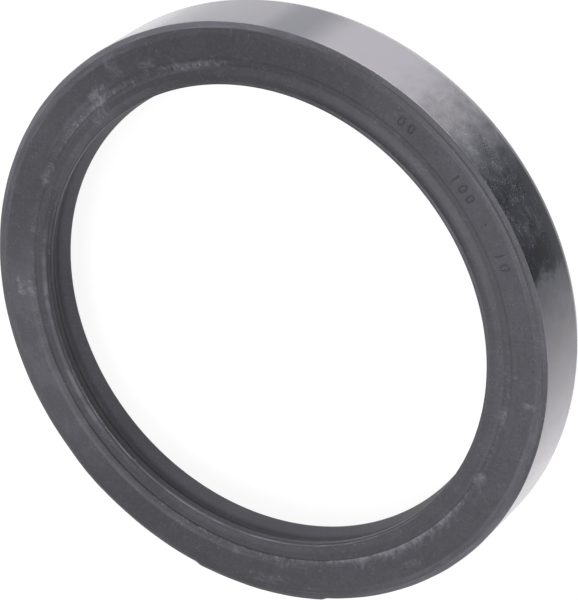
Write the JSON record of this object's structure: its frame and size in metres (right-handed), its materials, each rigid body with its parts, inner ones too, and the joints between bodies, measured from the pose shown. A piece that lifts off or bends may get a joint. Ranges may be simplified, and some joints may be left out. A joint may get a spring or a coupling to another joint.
{
  "type": "radial shaft seal",
  "caption": "Rubber-covered rotary shaft seal with a spring-loaded sealing lip and a dust lip, pressed into a round housing.",
  "frame": {"origin": "on the seal's axis, at the plane of its oil-side end, on which it rests", "axes": "+Z along the axis, from the oil side to the air side; X and Y are radial and all directions are alike"},
  "size_m": [0.1, 0.1, 0.013],
  "materials": {
    "elastomer": "satin moulded nitrile rubber",
    "sheet_steel": "phosphated pressed sheet",
    "spring_steel": "drawn spring wire"
  },
  "bodies": {
    "root": {"elastomer_body": "elastomer", "stiffening_ring": "sheet_steel", "garter_spring": "spring_steel"}
  },
  "joints": []
}
